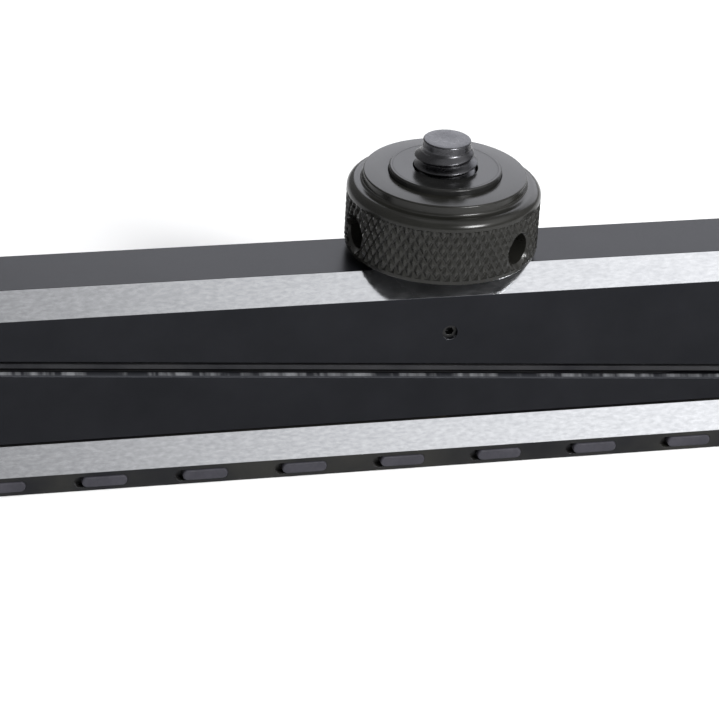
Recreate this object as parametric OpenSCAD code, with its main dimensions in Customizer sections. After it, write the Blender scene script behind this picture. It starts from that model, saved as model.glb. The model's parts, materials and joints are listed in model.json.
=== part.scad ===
// Folding-arm camera slider. Two tapered arms are stacked on a base rail. The lower arm turns on the
// rail's centre, the upper arm turns on the lower arm's end, and two belts inside the arms keep the
// camera mount on a straight line. Millimetres, +Z up, origin at the mouth of the tripod socket.

/* [Arms] */
// Distance from the shoulder axis to the elbow axis
arm_reach = 91; // [88:1:110]
// Width of both arms
arm_w = 18; // [18:0.1:19]
// Height of the upper arm's top face
arm_top_z = 30.6; // [30.4:0.05:30.6]
// 45 degree bright edge along the upper arm's top
arm_chamfer = 3.45; // [2:0.05:3.45]
// Wall thickness of both arm shells
arm_wall = 1.65; // [1.5:0.05:1.65]
// Height of the parting face above the shoulder axis
split_z = 13.9; // [13.8:0.05:14]
// Fall of the parting face for each millimetre towards the free end
split_slope = 0.0725; // [0.066:0.0005:0.0725]
// Running gap between the two arms
arm_gap = 0.7; // [0.7:0.05:1]
// Worn 45 degree edge along the lower arm's top
edge_break = 0.55; // [0.3:0.05:0.6]

/* [Base rail] */
// Width of the base rail
base_w = 24.8; // [24.8:0.1:28]
// Height of the rail's upright sides
base_side_h = 3; // [3:0.05:3.1]
// 45 degree bright edge along the rail's top
base_chamfer = 3.4; // [3.3:0.05:3.4]
// Number of rubber edge pads along each side
pad_count = 10; // [4:2:10]
// Distance from one edge pad to the next
pad_pitch = 15.2; // [12:0.1:16]

/* [Knob] */
// Outer radius of the knurled ring
knob_r = 14.6; // [14:0.1:16]
// Underside of the knurled ring
knob_z = 31.8; // [31.75:0.05:32]
// Radius of each tommy-bar hole
tommy_r = 2.35; // [1.5:0.05:2.5]

/* [Threads] */
// Outer radius of the camera stud, 3/8 inch thread
stud_r = 4.76; // [4.76:0.01:4.76]
// Core radius of the tripod socket, 3/8 inch thread
socket_r = 3.97; // [3.97:0.01:3.97]
// Core radius of the two side sockets, 1/4 inch thread
side_socket_r = 2.55; // [2.55:0.01:2.55]

/* [Hidden] */
$fn = 64;

black = [0.10, 0.10, 0.11];
dark_grey = [0.25, 0.25, 0.27];
silver = [0.75, 0.76, 0.78];
bronze = [0.72, 0.52, 0.28];
rubber = [0.16, 0.16, 0.17];

// Base rail and shoulder levels
base_top_z = base_side_h + base_chamfer;
hub_flange_r = 10;
hub_flange_h = 2.6;
hub_post_r = 5.2;
hub_post_top_z = 11.6;
socket_depth = 9;
side_socket_x = 36;
side_socket_depth = 5;
pocket_r = 8.3;
pocket_z = 4.2;
stop_pin_r = 0.6;
stop_pin_x = 7.5;
hub_screw_pcr = 7.4;

// Edge pads: a slot in the rail's side, with a shorter pad pressed into it
pad_slot_len = 8.1;
pad_slot_h = 1.8;
pad_slot_z = 1.45;
pad_slot_depth = 1.2;
pad_len = 6.9;
pad_h = 1.7;
pad_proud = 0.25;
mat_t = 0.8;
mat_x = 68;
mat_len = 34;
mat_w = 16;

// Lower arm levels
seam = 0.4;
low_z = base_top_z + seam;
low_floor_z = low_z + 1.2;
lid_t = 1.5;
lid_r = arm_w / 2 - 0.9;
lid_end_x = 34;
low_cavity_end_x = 28;
cavity_r = arm_w / 2 - arm_wall;
split_x0 = -arm_reach + 15;
split_x1 = 60;
bush_r = 6.6;
lug_r = 8.0;
lug_span = 190;

// Belts and pulleys: each big pulley has twice the pitch radius of its small one
belt_t = 0.5;
belt_gap = 0.1;
belt_h = 2.2;
big_pulley_r = 6.45;
small_pulley_r = 3.1;
low_belt_z = 8.7;
top_belt_z = 23;
flange_t = 0.25;
belt_side_gap = 0.1;

// Elbow levels, over the level stretch of the parting face
shaft_r = 2;
elbow_lid_z = split_at(-arm_reach);
elbow_brg_r = 4.5;
elbow_brg_h = 2.3;
elbow_house_z = 11.8;
elbow_flange_r = 5;

// Upper arm levels
cover_low_t = 0.7;
cover_top_t = 0.55;
roof_z = arm_top_z - 3.3;
top_cavity_end_x = 78;
cap_head_r = 3;
boss_r = 2.4;
screw_r = 0.9;
head_r = 1.8;
head_h = 0.9;
low_screw_x = [-62, -28, 24];
top_screw_x = [-62, -28, 28, 62];

// Camera mount levels
mount_r = 4;
mount_brg_r = 6;
block_z = 17.3;
block_top_z = 22.45;
block_x = 9;
mount_brg_top_z = 19.7;
drag_z = 21.1;
drag_r = 1.15;
mount_bush_r = 5.2;
flange_z = 30.95;
flange_r = 11;
spigot_z = 31.65;
spigot_r = 6;
spigot_top_z = 39.95;
stud_root_r = 4.3;
stud_root_z = 33.5;
stud_tip_z = 48.95;
stud_lead_r = 3.6;
stud_full_z = 47;
run = 0.05;

// Knob levels
knob_bush_r = 7;
knob_floor_z = 39.8;
shoulder_round = 1.4;
ring_top_z = 42.05;
disc_r = 12.3;
disc_top_z = 43.6;
cap_r = 8.45;
cap_z = 41;
cap_top_z = 44.5;
cap_hole_r = 5;
pad_seat_z = 43.6;
top_pad_r = 7.9;
top_pad_hole_r = 4.88;
pad_top_z = 44.5;
tommy_z = 35.35;
tommy_floor_r = 9;
tommy_angles = [-170, -50, 70];

// Height of the parting face at a place along the bar
function split_at(x) = split_z - split_slope * max(split_x0, min(split_x1, x));

// ---------- shared shapes ----------

// Straight bar with round ends and an optional 45 degree top edge
module bar(w, z0, z1, edge) {
    half = w / 2;
    rotate([90, 0, 90]) translate([0, 0, -arm_reach]) linear_extrude(2 * arm_reach)
        polygon([[-half, z0], [half, z0], [half, z1 - edge], [half - edge, z1],
                 [-half + edge, z1], [-half, z1 - edge]]);
    for (side = [-1, 1])
        translate([side * arm_reach, 0, 0]) rotate([0, 0, -side * 90]) rotate_extrude(angle = 180)
            polygon([[0, z0], [half, z0], [half, z1 - edge], [half - edge, z1], [0, z1]]);
}

// Plain round-ended plate from x0 to x1, which are the centres of its round ends
module plate(x0, x1, r, z0, z1) {
    translate([x0, -r, z0]) cube([x1 - x0, 2 * r, z1 - z0]);
    translate([x0, 0, z0]) cylinder(r = r, h = z1 - z0);
    translate([x1, 0, z0]) cylinder(r = r, h = z1 - z0);
}

// Everything above the parting face, raised by lift
module over_split(lift) {
    far = arm_reach + arm_w;
    rotate([90, 0, 0]) translate([0, 0, -arm_w]) linear_extrude(2 * arm_w)
        polygon([[-far, split_at(-far) + lift], [split_x0, split_at(split_x0) + lift],
                 [split_x1, split_at(split_x1) + lift], [far, split_at(far) + lift],
                 [far, 2 * arm_top_z], [-far, 2 * arm_top_z]]);
}

// Everything below the parting face, raised by lift
module under_split(lift) {
    far = arm_reach + arm_w;
    rotate([90, 0, 0]) translate([0, 0, -arm_w]) linear_extrude(2 * arm_w)
        polygon([[-far, split_at(-far) + lift], [split_x0, split_at(split_x0) + lift],
                 [split_x1, split_at(split_x1) + lift], [far, split_at(far) + lift],
                 [far, -arm_top_z], [-far, -arm_top_z]]);
}

// Cuts the 45 degree edge along the sloping stretch of the lower arm's top: a square bar on each
// side, turned on its corner, that stands out of the arm by overlap
module edge_cut() {
    overlap = 1;
    side = (edge_break + 2 * overlap) * sqrt(2);
    start_x = split_x0 + 1;
    length = (split_x1 - split_x0 - 2) * sqrt(1 + split_slope * split_slope);
    for (y = [-arm_w / 2 - overlap, arm_w / 2 + overlap])
        translate([start_x, y, split_at(start_x)]) rotate([0, atan(split_slope), 0])
            translate([0, 0, overlap]) rotate([45, 0, 0])
                translate([0, -side / 2, -side / 2]) cube([length, side, side]);
}

module ring(r_in, r_out, z0, z1) {
    rotate_extrude() translate([r_in, z0]) square([r_out - r_in, z1 - z0]);
}

// Pulley with two thin flanges; the belt runs between them
module pulley(r_in, r_out, rim, belt_z) {
    low = belt_z - belt_side_gap - flange_t;
    high = belt_z + belt_h + belt_side_gap + flange_t;
    rotate_extrude()
        polygon([[r_in, low], [rim, low], [rim, low + flange_t], [r_out, low + flange_t],
                 [r_out, high - flange_t], [rim, high - flange_t], [rim, high], [r_in, high]]);
}

// Closed belt round a big pulley at the origin and a small one at the elbow
module belt(z) {
    translate([0, 0, z]) linear_extrude(belt_h) difference() {
        belt_outline(belt_gap + belt_t);
        belt_outline(belt_gap);
    }
}

module belt_outline(grow) {
    hull() {
        circle(r = big_pulley_r + grow);
        translate([-arm_reach, 0]) circle(r = small_pulley_r + grow);
    }
}

// Socket-head screw, its head's top at z = 0 and its shank pointing down
module screw(head, tall, shank, length) {
    difference() {
        union() {
            translate([0, 0, -tall]) cylinder(r = head, h = tall);
            translate([0, 0, -length]) cylinder(r = shank, h = length - tall / 2);
        }
        translate([0, 0, -tall * 0.6]) cylinder(r = head * 0.5, h = tall, $fn = 6);
    }
}

// ---------- base ----------

// Runs its children once for every edge pad, with +X along the rail and the rail's side at y = 0
module at_pads() {
    span = (pad_count - 1) * pad_pitch + pad_slot_len;
    for (turn = [0, 180])
        rotate([0, 0, turn])
            for (i = [0 : pad_count - 1])
                translate([-span / 2 + i * pad_pitch, -base_w / 2, pad_slot_z]) children();
}

// Round-ended block that reaches from deep to proud of the rail's side
module pad_block(x0, length, h, deep, proud) {
    rotate([90, 0, 0]) translate([0, 0, -deep]) {
        translate([x0 + h / 2, -h / 2, 0]) cube([length - h, h, deep + proud]);
        translate([x0 + h / 2, 0, 0]) cylinder(r = h / 2, h = deep + proud);
        translate([x0 + length - h / 2, 0, 0]) cylinder(r = h / 2, h = deep + proud);
    }
}

module base_rail() {
    color(black) difference() {
        bar(base_w, 0, base_top_z, base_chamfer);
        translate([0, 0, -1]) cylinder(r = hub_flange_r, h = hub_flange_h + 1);
        cylinder(r = hub_post_r, h = base_top_z);
        translate([0, 0, pocket_z]) cylinder(r = pocket_r, h = base_top_z);
        translate([stop_pin_x, 0, pocket_z - 1]) cylinder(r = stop_pin_r, h = 2);
        for (side = [-1, 1]) {
            translate([side * side_socket_x, 0, -1])
                cylinder(r = side_socket_r, h = side_socket_depth + 1);
            translate([side * mat_x - mat_len / 2, -mat_w / 2, -1]) cube([mat_len, mat_w, mat_t + 1]);
        }
        for (a = [45 : 90 : 315])
            rotate([0, 0, a]) translate([hub_screw_pcr, 0, 0]) cylinder(r = screw_r, h = 3.9);
        at_pads() pad_block(0, pad_slot_len, pad_slot_h, pad_slot_depth, 1);
    }
}

module edge_pads() {
    color(dark_grey) at_pads()
        pad_block(pad_slot_len - pad_len, pad_len - 0.05, pad_h, pad_slot_depth, pad_proud);
}

module base_mats() {
    color(rubber) for (side = [-1, 1])
        translate([side * mat_x - mat_len / 2, -mat_w / 2, 0]) cube([mat_len, mat_w, mat_t]);
}

module shoulder_hub() {
    color(silver) difference() {
        union() {
            cylinder(r = hub_flange_r, h = hub_flange_h);
            cylinder(r = hub_post_r, h = hub_post_top_z);
        }
        translate([0, 0, -1]) cylinder(r = socket_r, h = socket_depth + 1);
        for (a = [45 : 90 : 315])
            rotate([0, 0, a]) translate([hub_screw_pcr, 0, 0]) {
                translate([0, 0, -1]) cylinder(r = screw_r, h = 5);
                translate([0, 0, -1]) cylinder(r = 1.6, h = 2.5);
            }
    }
}

module hub_screws() {
    color(dark_grey) for (a = [45 : 90 : 315])
        rotate([0, 0, a]) translate([hub_screw_pcr, 0, 0.3]) rotate([180, 0, 0])
            screw(1.6, 1.2, screw_r, 3.5);
}

module stop_pin() {
    color(silver) translate([stop_pin_x, 0, pocket_z - 1]) cylinder(r = stop_pin_r, h = 3.4);
}

module shoulder_thrust_washer() {
    color(bronze) ring(hub_post_r, bush_r, pocket_z, pocket_z + 0.45);
}

module shoulder_pulley() {
    color(silver) pulley(hub_post_r, big_pulley_r, big_pulley_r + 0.5, low_belt_z);
}

module shoulder_retaining_ring() {
    color(dark_grey) ring(hub_post_r, 6.2, low_belt_z + belt_h + 0.37, hub_post_top_z);
}

// ---------- lower arm ----------

module lower_arm_shell() {
    color(black) difference() {
        bar(arm_w, low_z, arm_top_z, 0);
        over_split(0);
        edge_cut();
        difference() {
            plate(-arm_reach, low_cavity_end_x, cavity_r, low_floor_z, arm_top_z);
            for (x = low_screw_x)
                translate([x, 0, low_z]) cylinder(r = boss_r, h = arm_top_z);
        }
        intersection() {
            plate(-arm_reach, lid_end_x, lid_r, low_floor_z, arm_top_z);
            over_split(-lid_t);
        }
        translate([0, 0, low_z - 1]) cylinder(r = bush_r, h = 5);
        for (x = low_screw_x)
            translate([x, 0, split_at(x) - 4.2]) cylinder(r = screw_r, h = 5);
    }
}

module lower_arm_lid() {
    color(dark_grey) difference() {
        plate(-arm_reach, lid_end_x, lid_r, low_floor_z, elbow_lid_z + 1);
        over_split(0);
        under_split(-lid_t);
        translate([-arm_reach, 0, 0]) cylinder(r = small_pulley_r, h = arm_top_z);
        for (x = low_screw_x) {
            translate([x, 0, split_at(x) - 5]) cylinder(r = screw_r, h = 6);
            translate([x, 0, split_at(x) - head_h - 0.15]) cylinder(r = head_r, h = 2);
        }
    }
}

module lower_lid_screws() {
    color(silver) for (x = low_screw_x)
        translate([x, 0, split_at(x) - 0.15]) screw(head_r, head_h, screw_r, 4);
}

module shoulder_bush() {
    color(bronze) {
        ring(hub_post_r + run, bush_r, pocket_z + 0.55, low_floor_z);
        rotate([0, 0, 180 - lug_span / 2]) rotate_extrude(angle = lug_span)
            translate([bush_r - 0.5, pocket_z + 0.55])
                square([lug_r - bush_r + 0.5, low_z - pocket_z - 0.6]);
    }
}

module lower_belt() {
    color(rubber) belt(low_belt_z);
}

module elbow_housing() {
    color(silver) translate([-arm_reach, 0, 0]) rotate_extrude()
        polygon([[3.4, elbow_house_z], [cavity_r, elbow_house_z],
                 [cavity_r, elbow_lid_z - lid_t], [elbow_brg_r, elbow_lid_z - lid_t],
                 [elbow_brg_r, elbow_house_z + 0.4], [3.4, elbow_house_z + 0.4]]);
}

module elbow_bearing(z) {
    color(silver) translate([-arm_reach, 0, 0]) ring(shaft_r + 0.04, elbow_brg_r, z, z + elbow_brg_h);
}

module elbow_bearing_lower() {
    elbow_bearing(elbow_house_z + 0.4);
}

module elbow_bearing_upper() {
    elbow_bearing(elbow_lid_z - lid_t - elbow_brg_h);
}

// Tube round the elbow shaft; its upper end is the upper belt's fixed pulley
module elbow_sleeve_pulley() {
    z0 = elbow_lid_z - lid_t;
    z1 = elbow_lid_z;
    z2 = top_belt_z - belt_side_gap;
    z3 = top_belt_z + belt_h + belt_side_gap;
    hole = shaft_r + 0.08;
    color(silver) translate([-arm_reach, 0, 0]) rotate_extrude()
        polygon([[hole, z0], [small_pulley_r, z0], [small_pulley_r, z1], [elbow_flange_r, z1],
                 [elbow_flange_r, z1 + 0.6], [small_pulley_r, z1 + 0.6],
                 [small_pulley_r, z2 - flange_t], [small_pulley_r + 0.8, z2 - flange_t],
                 [small_pulley_r + 0.8, z2], [small_pulley_r, z2], [small_pulley_r, z3],
                 [small_pulley_r + 0.8, z3], [small_pulley_r + 0.8, z3 + flange_t],
                 [hole, z3 + flange_t]]);
}

module elbow_thrust_washer() {
    color(bronze) translate([-arm_reach, 0, 0])
        ring(elbow_flange_r + 0.2, 8.6, elbow_lid_z, elbow_lid_z + arm_gap - 0.1);
}

// ---------- upper arm ----------

cover_t = cover_low_t + cover_top_t;
shell_lift = arm_gap + cover_t;

module upper_arm_shell() {
    color(black) difference() {
        bar(arm_w, base_top_z, arm_top_z, arm_chamfer);
        under_split(shell_lift);
        difference() {
            plate(-arm_reach, top_cavity_end_x, cavity_r, base_top_z, roof_z);
            for (x = top_screw_x)
                translate([x, 0, 0]) cylinder(r = boss_r, h = arm_top_z);
        }
        translate([-arm_reach, 0, 0]) cylinder(r = shaft_r, h = arm_top_z);
        translate([-arm_reach, 0, arm_top_z - 1.8]) cylinder(r = cap_head_r + 0.1, h = 3);
        cylinder(r = mount_bush_r, h = 2 * arm_top_z);
        for (x = top_screw_x)
            translate([x, 0, split_at(x)]) cylinder(r = screw_r, h = shell_lift + 4);
        translate([0, 0, drag_z]) rotate([90, 0, 0]) cylinder(r = drag_r, h = arm_w);
    }
}

// Two-step closing plate; the step leaves a shadow line under the shell
module upper_arm_cover() {
    far_r = arm_w / 2;
    color(dark_grey) difference() {
        union() {
            cover_layer(far_r - 0.3, arm_gap, arm_gap + cover_low_t);
            cover_layer(far_r - 1, arm_gap + cover_low_t, shell_lift);
        }
        translate([-arm_reach, 0, 0]) cylinder(r = elbow_flange_r + 0.4, h = arm_top_z);
        for (x = top_screw_x) {
            translate([x, 0, 0]) cylinder(r = screw_r, h = arm_top_z);
            translate([x, 0, 0]) cylinder(r = head_r, h = split_at(x) + arm_gap + 0.15 + head_h * 0.8);
        }
    }
}

module cover_layer(r, lift0, lift1) {
    difference() {
        plate(-arm_reach, arm_reach, r, base_top_z, arm_top_z);
        over_split(lift1);
        under_split(lift0);
    }
}

module upper_cover_screws() {
    color(silver) for (x = top_screw_x)
        translate([x, 0, split_at(x) + arm_gap + 0.15]) rotate([180, 0, 0])
            screw(head_r, head_h * 0.8, screw_r, 4.5);
}

module elbow_shaft() {
    color(silver) translate([-arm_reach, 0, 0]) difference() {
        translate([0, 0, low_belt_z - belt_side_gap - flange_t])
            cylinder(r = shaft_r, h = arm_top_z - 1.8 - low_belt_z + belt_side_gap + flange_t);
        translate([0, 0, arm_top_z - 7]) cylinder(r = screw_r, h = 7);
    }
}

module elbow_drive_pulley() {
    color(silver) translate([-arm_reach, 0, 0])
        pulley(shaft_r, small_pulley_r, small_pulley_r + 0.8, low_belt_z);
}

module elbow_cap_screw() {
    color(silver) translate([-arm_reach, 0, arm_top_z - 0.3]) screw(cap_head_r, 1.5, screw_r, 6);
}

module upper_belt() {
    color(rubber) belt(top_belt_z);
}

module mount_block() {
    color(silver) difference() {
        translate([-block_x, -cavity_r, block_z]) cube([2 * block_x, 2 * cavity_r, block_top_z - block_z]);
        translate([0, 0, block_z - 1]) cylinder(r = mount_r + 0.4, h = 8);
        translate([0, 0, block_z - 1]) cylinder(r = mount_brg_r, h = mount_brg_top_z - block_z + 1);
        translate([0, 0, drag_z]) rotate([90, 0, 0]) cylinder(r = drag_r, h = arm_w);
    }
}

module mount_bearing() {
    color(silver) ring(mount_r + 0.04, mount_brg_r, block_z + 0.2, mount_brg_top_z);
}

module mount_bush() {
    color(bronze) ring(mount_r + run, mount_bush_r, roof_z, arm_top_z);
}

module mount_thrust_washer() {
    color(bronze) ring(mount_r + 0.3, 5.6, arm_top_z, flange_z - 0.1);
}

module drag_screw() {
    color(dark_grey) difference() {
        translate([0, -5.6, drag_z]) rotate([90, 0, 0]) cylinder(r = drag_r, h = 2.9);
        translate([0, -7.2, drag_z]) rotate([90, 0, 0]) cylinder(r = 0.65, h = 2, $fn = 6);
    }
}

module drag_plug() {
    color(bronze) translate([0, -mount_r - 0.1, drag_z]) rotate([90, 0, 0])
        cylinder(r = drag_r, h = 5.6 - mount_r - 0.1);
}

// ---------- camera mount ----------

module mount_shaft() {
    color(silver) difference() {
        rotate_extrude()
            polygon([[0, 16.8], [mount_r, 16.8], [mount_r, block_z - 0.25],
                     [mount_r - 0.4, block_z - 0.25], [mount_r - 0.4, block_z + 0.15],
                     [mount_r, block_z + 0.15], [mount_r, flange_z], [flange_r, flange_z],
                     [flange_r, spigot_z], [spigot_r, spigot_z], [spigot_r, spigot_top_z],
                     [0, spigot_top_z]]);
        translate([0, 0, stud_root_z]) cylinder(r = stud_root_r, h = arm_top_z);
    }
}

module mount_pulley() {
    color(silver) pulley(mount_r, big_pulley_r, big_pulley_r + 0.5, top_belt_z);
}

module mount_circlip() {
    color(dark_grey) ring(mount_r - 0.4, 5, block_z - 0.25, block_z + 0.15);
}

module knob_retainer() {
    color(dark_grey) ring(stud_root_r, 8.1, spigot_top_z, spigot_top_z + 0.65);
}

// The free end above the pad has the full thread size, with a plain lead above it; the root below
// is relieved
module camera_stud() {
    taper = stud_r - stud_lead_r;
    color(dark_grey) rotate_extrude()
        polygon([[0, stud_root_z], [stud_root_r, stud_root_z], [stud_root_r, pad_top_z + 0.1],
                 [stud_r, pad_top_z + 0.1], [stud_r, stud_full_z],
                 [stud_lead_r, stud_full_z + taper], [stud_lead_r, stud_tip_z - 0.2],
                 [stud_lead_r - 0.2, stud_tip_z], [0, stud_tip_z]]);
}

// ---------- knob ----------

module knob_body() {
    color(dark_grey) difference() {
        rotate_extrude() difference() {
            union() {
                translate([0, knob_z]) square([knob_r - 0.4, 1]);
                translate([0, knob_z + 0.4])
                    square([knob_r, ring_top_z - knob_z - 0.4 - shoulder_round]);
                translate([0, knob_z + 1])
                    square([knob_r - shoulder_round, ring_top_z - knob_z - 1]);
                translate([knob_r - shoulder_round, ring_top_z - shoulder_round])
                    circle(r = shoulder_round);
                translate([0, knob_z + 1]) square([disc_r, disc_top_z - knob_z - 1]);
            }
            translate([-knob_r, knob_z - 1]) square([knob_r + knob_bush_r, knob_floor_z]);
            translate([-knob_r, knob_floor_z]) square([knob_r + cap_r, knob_floor_z]);
        }
        for (a = tommy_angles)
            rotate([0, 0, a]) translate([tommy_floor_r, 0, tommy_z]) rotate([0, 90, 0])
                cylinder(r = tommy_r, h = knob_r);
    }
}

module knob_bush() {
    color(bronze) ring(spigot_r + run, knob_bush_r, knob_z + 0.1, knob_floor_z);
}

module knob_cap() {
    color(dark_grey) rotate_extrude()
        polygon([[cap_hole_r, cap_z], [cap_r, cap_z], [cap_r, cap_top_z - 0.2],
                 [cap_r - 0.2, cap_top_z], [top_pad_r, cap_top_z], [top_pad_r, pad_seat_z],
                 [cap_hole_r, pad_seat_z]]);
}

module top_pad() {
    color(rubber) rotate_extrude()
        polygon([[top_pad_hole_r, pad_seat_z], [top_pad_r, pad_seat_z],
                 [top_pad_r, pad_top_z], [top_pad_hole_r, pad_top_z]]);
}

base_rail();
edge_pads();
base_mats();
shoulder_hub();
hub_screws();
stop_pin();
shoulder_thrust_washer();
shoulder_pulley();
shoulder_retaining_ring();
lower_arm_shell();
lower_arm_lid();
lower_lid_screws();
shoulder_bush();
lower_belt();
elbow_housing();
elbow_bearing_lower();
elbow_bearing_upper();
elbow_sleeve_pulley();
elbow_thrust_washer();
upper_arm_shell();
upper_arm_cover();
upper_cover_screws();
elbow_shaft();
elbow_drive_pulley();
elbow_cap_screw();
upper_belt();
mount_block();
mount_bearing();
mount_bush();
mount_thrust_washer();
drag_screw();
drag_plug();
mount_shaft();
mount_pulley();
mount_circlip();
knob_retainer();
camera_stud();
knob_body();
knob_bush();
knob_cap();
top_pad();
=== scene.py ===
import json
import math

import bmesh
import bpy
from mathutils import Matrix, Vector

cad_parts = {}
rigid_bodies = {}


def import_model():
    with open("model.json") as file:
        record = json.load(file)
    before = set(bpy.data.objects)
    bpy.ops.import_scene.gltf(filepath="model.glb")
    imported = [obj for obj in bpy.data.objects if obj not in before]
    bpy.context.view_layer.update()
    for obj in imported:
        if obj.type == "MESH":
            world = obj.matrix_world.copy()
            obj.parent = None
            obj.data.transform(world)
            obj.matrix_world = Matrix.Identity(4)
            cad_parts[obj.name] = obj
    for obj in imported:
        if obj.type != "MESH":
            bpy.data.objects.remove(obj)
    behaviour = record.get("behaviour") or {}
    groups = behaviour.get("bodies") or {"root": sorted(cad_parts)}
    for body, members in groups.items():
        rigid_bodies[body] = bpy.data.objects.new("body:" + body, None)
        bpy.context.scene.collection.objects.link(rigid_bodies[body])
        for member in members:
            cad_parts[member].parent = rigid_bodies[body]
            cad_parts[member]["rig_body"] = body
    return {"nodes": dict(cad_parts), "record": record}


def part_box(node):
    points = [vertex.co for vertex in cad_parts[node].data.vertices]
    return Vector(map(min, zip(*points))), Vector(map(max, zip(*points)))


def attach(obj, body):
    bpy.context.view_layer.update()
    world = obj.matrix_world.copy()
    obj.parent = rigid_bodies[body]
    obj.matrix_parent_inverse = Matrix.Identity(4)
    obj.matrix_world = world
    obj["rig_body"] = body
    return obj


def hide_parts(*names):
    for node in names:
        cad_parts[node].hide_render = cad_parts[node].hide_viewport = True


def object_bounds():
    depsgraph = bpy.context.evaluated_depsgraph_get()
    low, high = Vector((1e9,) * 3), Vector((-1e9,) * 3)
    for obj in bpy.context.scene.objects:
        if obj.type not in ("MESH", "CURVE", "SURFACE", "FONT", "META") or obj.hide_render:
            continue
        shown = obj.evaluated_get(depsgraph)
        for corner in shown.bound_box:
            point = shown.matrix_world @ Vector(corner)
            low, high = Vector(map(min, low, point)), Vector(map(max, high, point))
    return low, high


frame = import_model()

MM = 0.001
ARM_SLOPE = 0.0725          # fall of the line between the arms, per unit along the bar
ARM_SLOPE_START = 76 * MM   # how far left of the middle the fall begins
cad_low, cad_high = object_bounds()

# ---------------------------------------------------------------- camera

CAMERA_AZIMUTH = -14.3      # degrees, to the left of the bar's front
CAMERA_ELEVATION = 28.1
CAMERA_ROLL = 3.3
CAMERA_DISTANCE = 0.4909
CAMERA_LENS = 160.5
CAMERA_TARGET = Vector((-0.0115, 0.0, 0.0125))


def make_camera():
    """The photograph's point of view, level with neither the bar nor the floor."""
    azimuth, elevation = math.radians(CAMERA_AZIMUTH), math.radians(CAMERA_ELEVATION)
    back = Vector((math.sin(azimuth) * math.cos(elevation),
                   -math.cos(azimuth) * math.cos(elevation),
                   math.sin(elevation)))
    data = bpy.data.cameras.new("camera")
    data.lens = CAMERA_LENS
    data.sensor_width = 36.0
    data.clip_start, data.clip_end = 0.01, 20.0
    camera = bpy.data.objects.new("camera", data)
    bpy.context.scene.collection.objects.link(camera)
    camera.rotation_mode = "QUATERNION"
    turn = Matrix.Rotation(math.radians(CAMERA_ROLL), 3, back).to_quaternion()
    camera.rotation_quaternion = turn @ (-back).to_track_quat("-Z", "Y")
    camera.location = CAMERA_TARGET + back * CAMERA_DISTANCE
    bpy.context.scene.camera = camera


make_camera()

# ---------------------------------------------------------------- shader helpers

EDGE_FADE_IN = (0.60, 0.64)    # upward part of a face's normal, where a 45 degree edge begins
EDGE_FADE_OUT = (0.78, 0.82)   # and where it ends
CREST_LINE = (0.42 * MM, 0.3 * MM)   # depths below the crest between which the worn line fades in


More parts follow.
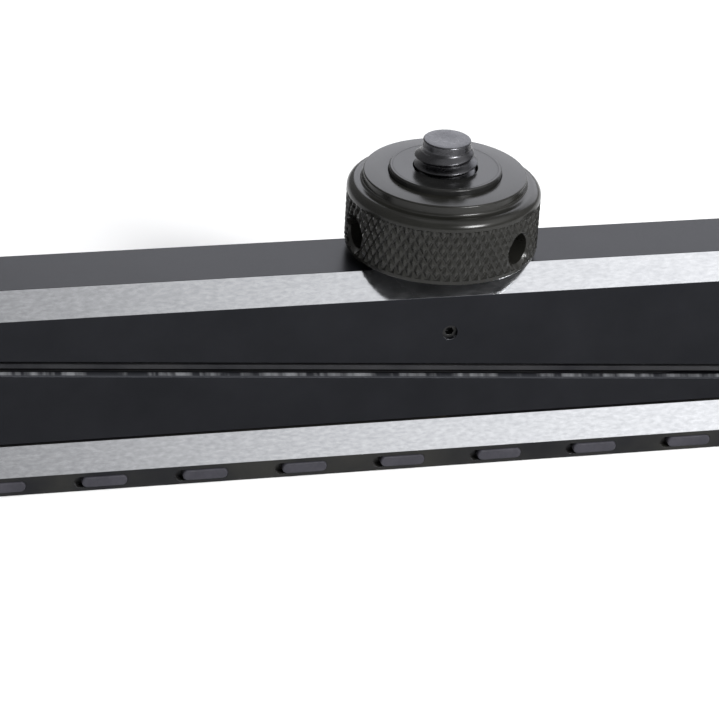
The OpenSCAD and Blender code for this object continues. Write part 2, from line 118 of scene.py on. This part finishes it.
class Shader:
    """A node material with short calls for the nodes used here."""

    def __init__(self, name):
        self.material = bpy.data.materials.new(name)
        self.material.use_nodes = True
        self.nodes = self.material.node_tree.nodes
        self.links = self.material.node_tree.links
        self.nodes.clear()
        self.output = self.nodes.new("ShaderNodeOutputMaterial")
        self.bsdf = self.nodes.new("ShaderNodeBsdfPrincipled")
        self.links.new(self.bsdf.outputs["BSDF"], self.output.inputs["Surface"])
        self.place = self.nodes.new("ShaderNodeTexCoord")

    def put(self, socket, value):
        """Sets a shader socket to a constant, or links it to another node's socket."""
        target = self.bsdf.inputs[socket] if isinstance(socket, str) else socket
        if isinstance(value, bpy.types.NodeSocket):
            self.links.new(value, target)
        else:
            target.default_value = value

    def stretched(self, scale):
        """Object coordinates stretched by scale, three numbers per metre."""
        mapping = self.nodes.new("ShaderNodeMapping")
        mapping.inputs["Scale"].default_value = scale
        self.links.new(self.place.outputs["Object"], mapping.inputs["Vector"])
        return mapping.outputs["Vector"]

    def noise(self, scale, detail=3.0, roughness=0.55):
        """Noise, about 0.3 to 0.7, with scale lumps per metre along each axis."""
        node = self.nodes.new("ShaderNodeTexNoise")
        node.inputs["Scale"].default_value = 1.0
        node.inputs["Detail"].default_value = detail
        node.inputs["Roughness"].default_value = roughness
        self.links.new(self.stretched(scale), node.inputs["Vector"])
        return node.outputs["Fac"]

    def remap(self, value, low, high, to_low, to_high):
        """low to high becomes to_low to to_high, and values outside are held at the ends."""
        node = self.nodes.new("ShaderNodeMapRange")
        node.inputs["From Min"].default_value = low
        node.inputs["From Max"].default_value = high
        node.inputs["To Min"].default_value = to_low
        node.inputs["To Max"].default_value = to_high
        self.links.new(value, node.inputs["Value"])
        return node.outputs["Result"]

    def maths(self, operation, a, b=0.0):
        node = self.nodes.new("ShaderNodeMath")
        node.operation = operation
        self.put(node.inputs[0], a)
        self.put(node.inputs[1], b)
        return node.outputs["Value"]

    def mix(self, factor, a, b):
        """a where factor is 0 and b where it is 1, for colours."""
        node = self.nodes.new("ShaderNodeMix")
        node.data_type = "RGBA"
        self.put(node.inputs["Factor"], factor)
        for index, value in ((6, a), (7, b)):
            if not isinstance(value, bpy.types.NodeSocket):
                value = (*value, 1.0)
            self.put(node.inputs[index], value)
        return node.outputs[2]

    def blend(self, factor, a, b):
        """a where factor is 0 and b where it is 1, for plain numbers."""
        node = self.nodes.new("ShaderNodeMix")
        node.data_type = "FLOAT"
        self.put(node.inputs["Factor"], factor)
        self.put(node.inputs[2], a)
        self.put(node.inputs[3], b)
        return node.outputs[0]

    def bump(self, height, strength, distance):
        node = self.nodes.new("ShaderNodeBump")
        node.inputs["Strength"].default_value = strength
        node.inputs["Distance"].default_value = distance
        self.links.new(height, node.inputs["Height"])
        self.links.new(node.outputs["Normal"], self.bsdf.inputs["Normal"])

    def axis_of(self, output, axis):
        node = self.nodes.new("ShaderNodeSeparateXYZ")
        self.links.new(self.place.outputs[output], node.inputs["Vector"])
        return node.outputs[axis]

    def edge_mask(self):
        """1 on faces that lean 45 degrees upwards, 0 elsewhere."""
        up = self.axis_of("Normal", "Z")
        low = self.remap(up, *EDGE_FADE_IN, 0.0, 1.0)
        high = self.remap(up, *EDGE_FADE_OUT, 1.0, 0.0)
        return self.maths("MULTIPLY", low, high)

    def top_line(self):
        """1 along the crest of the lower arm, which falls to the right, 0 below it."""
        fallen = self.maths("MULTIPLY", self.axis_of("Object", "X"), ARM_SLOPE)
        level = self.maths("ADD", self.axis_of("Object", "Z"), fallen)
        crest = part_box("lower_arm_shell")[1].z - ARM_SLOPE * ARM_SLOPE_START
        return self.remap(level, crest - CREST_LINE[0], crest - CREST_LINE[1], 0.0, 1.0)


# ---------------------------------------------------------------- materials

BLACK = (0.0032, 0.0033, 0.0042)
BLACK_WORN = (0.0058, 0.0059, 0.0072)
SILVER = (0.60, 0.61, 0.635)
SILVER_DULL = (0.50, 0.51, 0.535)
NOISE_FINE = (0.3, 0.7)        # the range of a fine noise that is spread over a finish
NOISE_TINT = (0.35, 0.65)      # the same for a slow change of tint
NOISE_CLOUD = (0.35, 0.7)      # the same for the worn cast of the black
NOISE_PATCH = (0.44, 0.62)     # the same for the worn patches along the crest
PATCH_BARE = 0.2               # how much bare metal shows in a worn patch
BLACK_ROUGHNESS = (0.29, 0.33)
SILVER_ROUGHNESS = (0.11, 0.16)
RUBBER_ROUGHNESS = (0.62, 0.8)


def anodised(name, black=BLACK, worn_edge=False, has_edge=True):
    """Satin black anodised aluminium; its 45 degree edges are milled bright after anodising."""
    s = Shader(name)
    cloud = s.noise((90, 90, 90), 4)
    grain = s.noise((2600, 2600, 2600), 2)
    streak = s.noise((900, 2200, 2200), 3)
    dark = s.mix(s.remap(cloud, *NOISE_CLOUD, 0, 1), black, BLACK_WORN)
    bright = s.mix(s.remap(streak, *NOISE_FINE, 0, 1), SILVER_DULL, SILVER)
    if has_edge:
        edge = s.edge_mask()
        if worn_edge:
            patches = s.remap(s.noise((420, 60, 60), 3, 0.6), *NOISE_PATCH, 0.0, PATCH_BARE)
            edge = s.maths("MULTIPLY", s.maths("MULTIPLY", edge, patches), s.top_line())
    else:
        edge = 0.0
    s.put("Base Color", s.mix(edge, dark, bright))
    s.put("Metallic", edge)
    matt = s.remap(grain, *NOISE_FINE, *BLACK_ROUGHNESS)
    milled = s.remap(streak, *NOISE_FINE, *SILVER_ROUGHNESS)
    s.put("Roughness", s.blend(edge, matt, milled))
    s.put("Specular IOR Level", 0.14)
    s.put("Specular Tint", (0.86, 0.9, 1.0, 1.0))
    s.bump(s.blend(edge, grain, streak), 0.1, 0.00001)
    return s.material


def metal(name, colour, second, low, high, turned=False):
    """Bare or plated metal with fine machining marks; low and high limit its roughness."""
    s = Shader(name)
    marks = s.noise((300, 300, 9000) if turned else (2200, 2200, 2200), 3)
    tint = s.noise((220, 220, 220), 3)
    s.put("Base Color", s.mix(s.remap(tint, *NOISE_TINT, 0, 1), colour, second))
    s.put("Metallic", 1.0)
    s.put("Roughness", s.remap(marks, *NOISE_FINE, low, high))
    s.bump(marks, 0.2, 0.00002)
    return s.material


def rubber(name, colour, second, grain_scale=1800):
    """Matt moulded rubber, or any other dull black finish."""
    s = Shader(name)
    grain = s.noise((grain_scale,) * 3, 3)
    tint = s.noise((260, 260, 260), 3)
    s.put("Base Color", s.mix(s.remap(tint, *NOISE_TINT, 0, 1), colour, second))
    s.put("Roughness", s.remap(grain, *NOISE_FINE, *RUBBER_ROUGHNESS))
    s.put("Specular IOR Level", 0.35)
    s.bump(grain, 0.4, 0.00005)
    return s.material


def satin(name, colour, second, low, high):
    """Glossy black anodised metal, as on the knob; low and high limit its roughness."""
    s = Shader(name)
    grain = s.noise((2400, 2400, 2400), 2)
    cloud = s.noise((160, 160, 160), 3)
    s.put("Base Color", s.mix(s.remap(cloud, *NOISE_TINT, 0, 1), colour, second))
    s.put("Roughness", s.remap(grain, *NOISE_FINE, low, high))
    s.put("Specular IOR Level", 0.26)
    s.bump(grain, 0.04, 0.00001)
    return s.material


MATERIALS = {
    "rail_aluminium": anodised("rail_aluminium", (0.018, 0.0175, 0.0155)),
    "lower_shell_aluminium": anodised("lower_shell_aluminium", worn_edge=True),
    "upper_shell_aluminium": anodised("upper_shell_aluminium"),
    "cover_aluminium": anodised("cover_aluminium", (0.02, 0.02, 0.021), has_edge=False),
    "lid_aluminium": anodised("lid_aluminium", (0.02, 0.02, 0.021), has_edge=False),
    "pad_rubber": rubber("pad_rubber", (0.020, 0.0195, 0.026), (0.029, 0.028, 0.036)),
    "mat_rubber": rubber("mat_rubber", (0.02, 0.02, 0.02), (0.03, 0.03, 0.03), 900),
    "knob_aluminium": satin("knob_aluminium", (0.008, 0.0079, 0.0068), (0.012, 0.0118, 0.0103),
                            0.2, 0.24),
    "cap_aluminium": satin("cap_aluminium", (0.008, 0.008, 0.0077), (0.012, 0.012, 0.0116), 0.2, 0.23),
    "top_pad_rubber": satin("top_pad_rubber", (0.008, 0.008, 0.008), (0.012, 0.012, 0.012),
                            0.19, 0.23),
    "stud_steel": metal("stud_steel", (0.05, 0.05, 0.054), (0.07, 0.07, 0.075), 0.24, 0.36),
    "bright_steel": metal("bright_steel", (0.5, 0.5, 0.52), (0.6, 0.6, 0.61), 0.2, 0.34, True),
    "black_steel": metal("black_steel", (0.018, 0.018, 0.018), (0.03, 0.03, 0.03), 0.35, 0.5),
    "bronze": metal("bronze", (0.45, 0.27, 0.11), (0.55, 0.36, 0.16), 0.3, 0.45, True),
    "belt_rubber": rubber("belt_rubber", (0.012, 0.012, 0.012), (0.02, 0.02, 0.02)),
    "machined_aluminium": metal("machined_aluminium", (0.6, 0.61, 0.63), (0.7, 0.7, 0.72),
                                0.25, 0.4, True),
}

# ---------------------------------------------------------------- CAD nodes

slot_of = {entry["node"]: entry["material_slot"] for entry in frame["record"]["subparts"]}

SAME_POINT = 1e-6                # metres: CAD vertices closer than this are one
FLAT_ANGLE = math.radians(0.3)   # facets that differ by less are one flat face
EDGE_ANGLE = math.radians(28)    # edges sharper than this are rounded
EDGE_WIDTHS = {                  # millimetres
    "base_rail": 0.12, "lower_arm_shell": 0.10, "upper_arm_shell": 0.12, "upper_arm_cover": 0.08,
    "lower_arm_lid": 0.08, "edge_pads": 0.25, "base_mats": 0.2, "knob_cap": 0.05, "top_pad": 0.03,
    "shoulder_hub": 0.1, "mount_shaft": 0.1, "elbow_cap_screw": 0.15, "drag_screw": 0.08,
}


def soften(node, width_mm):
    """Rounds a CAD node's sharp edges by width_mm, as a deburred part has them."""
    weld = node.modifiers.new("weld", "WELD")
    weld.merge_threshold = SAME_POINT
    flat = node.modifiers.new("flat", "DECIMATE")
    flat.decimate_type = "DISSOLVE"
    flat.angle_limit = FLAT_ANGLE
    edge = node.modifiers.new("edge", "BEVEL")
    edge.width = width_mm * MM
    edge.segments = 2
    edge.limit_method = "ANGLE"
    edge.angle_limit = EDGE_ANGLE
    edge.use_clamp_overlap = True
    edge.loop_slide = False
    edge.harden_normals = True


MERGE = 1e-7   # metres: vertices of a made mesh closer than this are one


def lathe(name, outline, columns, shape=None):
    """Closed turned solid. outline is a closed loop of (r, z) in millimetres, and shape may move
    a point: it gets the angle, r and z and returns the new r."""
    mesh = bpy.data.meshes.new(name)
    build = bmesh.new()
    rings = []
    for column in range(columns):
        angle = 2 * math.pi * column / columns
        ring = []
        for r, z in outline:
            reach = shape(angle, r, z) if shape else r
            ring.append(build.verts.new((reach * math.cos(angle) * MM, reach * math.sin(angle) * MM,
                                         z * MM)))
        rings.append(ring)
    count = len(outline)
    for column in range(columns):
        here, there = rings[column], rings[(column + 1) % columns]
        for row in range(count):
            up = (row + 1) % count
            build.faces.new((here[row], there[row], there[up], here[up]))
    bmesh.ops.remove_doubles(build, verts=build.verts, dist=MERGE)
    bmesh.ops.recalc_face_normals(build, faces=build.faces)
    build.to_mesh(mesh)
    build.free()
    return mesh


def arc(centre_r, centre_z, radius, start, end, steps):
    """Points of an arc in the (r, z) plane, angles in degrees from the +r direction."""
    points = []
    for step in range(steps + 1):
        turn = math.radians(start + (end - start) * step / steps)
        points.append((centre_r + radius * math.cos(turn), centre_z + radius * math.sin(turn)))
    return points


def smooth_by_angle(mesh, degrees):
    """Smooth shading, with edges sharper than this angle kept crisp."""
    mesh.shade_smooth()
    mesh.set_sharp_from_angle(angle=math.radians(degrees))


def stand_in(mesh, node_name):
    """Puts mesh in the place of a CAD node, with the material of its slot."""
    piece = bpy.data.objects.new(node_name + "_visual", mesh)
    bpy.context.scene.collection.objects.link(piece)
    mesh.materials.append(MATERIALS[slot_of[node_name]])
    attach(piece, frame["nodes"][node_name]["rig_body"])
    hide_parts(node_name)
    return piece


# The knurled ring, in millimetres: crests at KNOB_R, straight grooves KNURL_DEPTH below them
KNOB_R = 14.6
KNOB_LOW, KNURL_LOW, KNURL_HIGH = 31.8, 32.5, 40.5
KNURL_COUNT = 64                # grooves of one slant round the ring
KNURL_TALL = 2.48               # height of one diamond
KNURL_STEPS = 8                 # mesh rows and columns in one diamond
KNURL_DEPTH = 0.34
KNURL_SLOPE = 1.25              # above 1, so the diamonds keep a small flat crest
KNURL_FADE = 0.25               # height over which the grooves run out at the top
SKIN = 0.01                     # a point this close to KNOB_R lies on the knurled band
FOOT_INSET, FOOT_RISE = 0.3, 0.16       # chamfer at the ring's foot
BAND_INSET, BAND_GAP = 0.14, 0.02       # plain band between the foot and the knurl
SHOULDER = 1.4
RING_TOP, DISC_R, DISC_TOP = 42.05, 12.3, 43.6
DISC_FILLET, DISC_ROUND = 0.45, 0.25
CAP_SEAT_R, CAP_SEAT_Z, KNOB_BORE = 8.45, 39.8, 7.0
SEAT_CHAMFER, SEAT_GAP = 0.12, 0.02
TOMMY_ANGLES, TOMMY_Z, TOMMY_R, TOMMY_FLOOR = (-170, -50, 70), 35.35, 2.35, 9.0
SINK_DEPTH, SINK_FLARE, SINK_OUT = 0.75, 1.2, 0.45   # countersink, cut from SINK_OUT outside
UNDERSIDE_PAINTED_SHADE = 1                   # material index of the ring's underside, which carries painted shade
DOWNWARD, NEAR_FOOT = -0.9, 0.1   # normal and height by which its faces are known


def knurl(angle, r, z):
    """Radius of the knurled band: pyramids left between two sets of crossing grooves."""
    if not (KNURL_LOW <= z < KNURL_HIGH and r > KNOB_R - SKIN):
        return r
    across, along = KNURL_COUNT * angle / (2 * math.pi), (z - KNURL_LOW) / KNURL_TALL
    heights = []
    for phase in (across + along, across - along):
        ramp = abs(phase - math.floor(phase) - 0.5) * 2
        heights.append(min(1.0, KNURL_SLOPE * (1 - ramp)))
    fade = min(1.0, (KNURL_HIGH - z) / KNURL_FADE)
    return KNOB_R - KNURL_DEPTH * fade * (1 - min(heights))


def drill(mesh, cutters):
    """Cuts closed meshes out of mesh with exact booleans."""
    piece = bpy.data.objects.new("drilled", mesh)
    bpy.context.scene.collection.objects.link(piece)
    tools = []
    for cutter in cutters:
        tool = bpy.data.objects.new("cutter", cutter)
        bpy.context.scene.collection.objects.link(tool)
        cut = piece.modifiers.new("cut", "BOOLEAN")
        cut.operation, cut.solver, cut.object = "DIFFERENCE", "EXACT", tool
        tools.append(tool)
    bpy.context.view_layer.update()
    done = bpy.data.meshes.new_from_object(piece.evaluated_get(bpy.context.evaluated_depsgraph_get()))
    for used in [piece] + tools:
        bpy.data.objects.remove(used)
    return done


def tommy_cutter(angle):
    """Drill with a countersink where it leaves the ring."""
    outline = [(0.0, TOMMY_FLOOR), (TOMMY_R, TOMMY_FLOOR), (TOMMY_R, KNOB_R - SINK_DEPTH),
               (TOMMY_R + SINK_FLARE, KNOB_R + SINK_OUT), (0.0, KNOB_R + SINK_OUT)]
    mesh = lathe("cutter", outline, columns=48)
    turn = Matrix.Rotation(math.radians(angle), 4, "Z") @ Matrix.Rotation(math.pi / 2, 4, "Y")
    mesh.transform(Matrix.Translation((0, 0, TOMMY_Z * MM)) @ turn)
    return mesh


def knob_mesh():
    """The ring from its bore, up the knurled side and over the shoulder to the cap's seat."""
    row = KNURL_TALL / KNURL_STEPS
    rows = int((KNURL_HIGH - KNURL_LOW) / row) + 1
    wall = [(KNOB_R, KNURL_LOW + step * row) for step in range(rows)] + [(KNOB_R, KNURL_HIGH)]
    outline = [(KNOB_BORE, KNOB_LOW), (KNOB_R - FOOT_INSET, KNOB_LOW),
               (KNOB_R - BAND_INSET, KNOB_LOW + FOOT_RISE), (KNOB_R - BAND_INSET, KNURL_LOW - BAND_GAP)]
    outline += wall
    outline += arc(KNOB_R - SHOULDER, RING_TOP - SHOULDER, SHOULDER, 0, 90, 12)
    outline += arc(DISC_R + DISC_FILLET, RING_TOP + DISC_FILLET, DISC_FILLET, 270, 180, 5)
    outline += arc(DISC_R - DISC_ROUND, DISC_TOP - DISC_ROUND, DISC_ROUND, 0, 90, 5)
    outline += [(CAP_SEAT_R + SEAT_CHAMFER, DISC_TOP), (CAP_SEAT_R + SEAT_GAP, DISC_TOP - SEAT_CHAMFER),
                (CAP_SEAT_R + SEAT_GAP, CAP_SEAT_Z), (KNOB_BORE, CAP_SEAT_Z)]
    mesh = lathe("knob", outline, KNURL_COUNT * KNURL_STEPS, knurl)
    mesh = drill(mesh, [tommy_cutter(angle) for angle in TOMMY_ANGLES])
    smooth_by_angle(mesh, degrees=24)
    # painted shade: downward faces at the ring's foot get a darker, duller material than the rest of
    # the knob
    for face in mesh.polygons:
        if face.normal.z < DOWNWARD and face.center.z < (KNOB_LOW + NEAR_FOOT) * MM:
            face.material_index = UNDERSIDE_PAINTED_SHADE
    return mesh


# The camera stud, in millimetres: 3/8 inch thread of 16 turns to the inch, under a plain lead
THREAD_PITCH = 1.5875
CREST_R, ROOT_R, LEAD_R = 4.76, 3.79, 3.6
RELIEF_R, STUD_LOW, THREAD_LOW = 4.3, 33.5, 43.2
LEAD_LOW, LEAD_HIGH, STUD_TOP = 47.3, 48.7, 48.95
CREST_AT_ZERO, THREAD_END, THREAD_FADE = 47.16, 47.3, 0.62
LEAD_TAPER, LEAD_ROUND = 0.4, 0.25
TIP_DISH = ((2.2, 0.03), (1.0, 0.1), (0.0, 0.14))   # (radius, depth under STUD_TOP)
STUD_COLUMNS = 96
# (distance from the crest along the stud, height from 0 at the root to 1 at the crest)
THREAD_PROFILE = ((0.0, 1.0), (0.06, 0.98), (0.13, 0.88), (0.38, 0.45), (0.6, 0.07), (0.68, 0.0))


def thread_height(offset):
    """Height of the thread, 0 to 1, at an axial distance from its crest."""
    for (low, at_low), (high, at_high) in zip(THREAD_PROFILE, THREAD_PROFILE[1:]):
        if offset <= high:
            return at_low + (at_high - at_low) * (offset - low) / (high - low)
    return 0.0


def stud_radius(angle, z):
    """Radius of the helix, which dies out into the lead, at an angle and a height."""
    turns = (z - CREST_AT_ZERO) / THREAD_PITCH - angle / (2 * math.pi)
    nearest = round(turns)
    crest = CREST_AT_ZERO + THREAD_PITCH * (nearest + angle / (2 * math.pi))
    grown = max(0.0, min(1.0, (THREAD_END - crest) / THREAD_FADE))
    core = ROOT_R - (ROOT_R - LEAD_R) * max(0.0, min(1.0, (z - LEAD_LOW) / LEAD_TAPER))
    return core + (CREST_R - ROOT_R) * grown * thread_height(abs(turns - nearest) * THREAD_PITCH)


def stud_mesh():
    """Rows follow the helix, so crests and roots stay sharp; rows past an end fold onto it."""
    offsets = [low for low, _ in THREAD_PROFILE]
    offsets += [THREAD_PITCH / 2] + [THREAD_PITCH - low for low in reversed(offsets[1:])]
    turns = range(-4, 3)
    heights = sorted(CREST_AT_ZERO + THREAD_PITCH * turn + offset
                     for turn in turns for offset in offsets)
    mesh = bpy.data.meshes.new("stud")
    build = bmesh.new()
    rings = []
    for column in range(STUD_COLUMNS + 1):
        angle = 2 * math.pi * column / STUD_COLUMNS
        ring = [(RELIEF_R, STUD_LOW), (RELIEF_R, THREAD_LOW)]
        for height in heights:
            z = max(THREAD_LOW, min(LEAD_HIGH, height + THREAD_PITCH * column / STUD_COLUMNS))
            ring.append((stud_radius(angle, z), z))
        ring += arc(LEAD_R - LEAD_ROUND, LEAD_HIGH, LEAD_ROUND, 20, 90, 4)
        ring += [(r, STUD_TOP - depth) for r, depth in TIP_DISH[:-1]]
        rings.append([build.verts.new((r * math.cos(angle) * MM, r * math.sin(angle) * MM, z * MM))
                      for r, z in ring])
    bottom = build.verts.new((0, 0, STUD_LOW * MM))
    tip = build.verts.new((0, 0, (STUD_TOP - TIP_DISH[-1][1]) * MM))
    for here, there in zip(rings, rings[1:]):
        build.faces.new((bottom, there[0], here[0]))
        for row in range(len(here) - 1):
            build.faces.new((here[row], there[row], there[row + 1], here[row + 1]))
        build.faces.new((here[-1], there[-1], tip))
    bmesh.ops.remove_doubles(build, verts=build.verts, dist=2 * MERGE)
    bmesh.ops.dissolve_degenerate(build, edges=build.edges, dist=MERGE)
    bmesh.ops.recalc_face_normals(build, faces=build.faces)
    build.to_mesh(mesh)
    build.free()
    smooth_by_angle(mesh, degrees=40)
    return mesh


for name, node in frame["nodes"].items():
    node.data.materials.clear()
    node.data.materials.append(MATERIALS[slot_of[name]])
    if name in EDGE_WIDTHS:
        soften(node, EDGE_WIDTHS[name])

knob = stand_in(knob_mesh(), "knob_body")
# painted shade: the ring's underside gets a darker, duller black than the knob, so that the bright edge
# below mirrors it as dark as the shade under the knob
knob.data.materials.append(rubber("knob_underside_painted_shade", (0.003, 0.003, 0.003), (0.005, 0.005, 0.005)))
stand_in(stud_mesh(), "camera_stud")

# ---------------------------------------------------------------- floor and lights

LIGHT_AIM = Vector((0.0, 0.0, 0.02))
FLOOR_HALF, FLOOR_GAP = 6.0, 0.0001


def make_floor():
    """Plain pale floor, a hair below the object."""
    mesh = bpy.data.meshes.new("floor")
    corners = [(x * FLOOR_HALF, y * FLOOR_HALF, 0) for x, y in ((-1, -1), (1, -1), (1, 1), (-1, 1))]
    mesh.from_pydata(corners, [], [(0, 1, 2, 3)])
    floor = bpy.data.objects.new("floor", mesh)
    bpy.context.scene.collection.objects.link(floor)
    floor.location.z = cad_low.z - FLOOR_GAP
    s = Shader("floor")
    s.put("Base Color", s.mix(s.noise((3, 3, 3)), (0.9, 0.9, 0.9), (0.93, 0.93, 0.93)))
    s.put("Roughness", 0.9)
    s.put("Specular IOR Level", 0.1)
    floor.data.materials.append(s.material)


def direction_of(azimuth, elevation):
    """Unit vector; azimuth 0 is the bar's front and 90 its right."""
    a, e = math.radians(azimuth), math.radians(elevation)
    return Vector((math.sin(a) * math.cos(e), -math.cos(a) * math.cos(e), math.sin(e)))


def area_light(name, azimuth, elevation, distance, size, power, colour=(1.0, 1.0, 1.0)):
    """Rectangular soft light that faces the object; distance and size in metres, power in watts."""
    direction = direction_of(azimuth, elevation)
    data = bpy.data.lights.new(name, "AREA")
    data.shape = "RECTANGLE"
    data.size, data.size_y = size
    data.energy = power
    data.color = colour
    light = bpy.data.objects.new(name, data)
    bpy.context.scene.collection.objects.link(light)
    light.location = LIGHT_AIM + direction * distance
    light.rotation_mode = "QUATERNION"
    light.rotation_quaternion = direction.to_track_quat("Z", "Y")


# The surround: even strength SURROUND, rising to GLOW in the middle of the glow
GLOW_TOWARDS = direction_of(62, 46)
GLOW_EDGE = math.cos(math.radians(36))
SURROUND, GLOW = 0.38, 1.8


def make_world():
    """Even grey surround with one wide soft glow, up and to the right."""
    world = bpy.data.worlds.new("world")
    bpy.context.scene.world = world
    world.use_nodes = True
    nodes, links = world.node_tree.nodes, world.node_tree.links
    place = nodes.new("ShaderNodeTexCoord")
    towards = nodes.new("ShaderNodeVectorMath")
    towards.operation = "DOT_PRODUCT"
    towards.inputs[1].default_value = GLOW_TOWARDS
    links.new(place.outputs["Generated"], towards.inputs[0])
    ramp = nodes.new("ShaderNodeMapRange")
    ramp.interpolation_type = "SMOOTHSTEP"
    ramp.inputs["From Min"].default_value = GLOW_EDGE
    ramp.inputs["From Max"].default_value = 1.0
    ramp.inputs["To Min"].default_value = SURROUND
    ramp.inputs["To Max"].default_value = GLOW
    links.new(towards.outputs["Value"], ramp.inputs["Value"])
    background = nodes["Background"]
    background.inputs["Color"].default_value = (1.0, 1.0, 1.0, 1.0)
    links.new(ramp.outputs["Result"], background.inputs["Strength"])


def make_lights():
    """A small key at the front right, a broad light behind, a soft one above, and the surround."""
    area_light("key", azimuth=25, elevation=32, distance=0.7, size=(0.22, 0.18), power=6.5)
    area_light("back", azimuth=149, elevation=27, distance=1.4, size=(1.5, 0.8), power=8.3,
               colour=(0.92, 0.93, 1.0))
    area_light("top", azimuth=0, elevation=88, distance=1.2, size=(0.8, 0.8), power=1.4)
    make_world()


make_floor()
make_lights()
bpy.context.scene.view_settings.view_transform = "Standard"
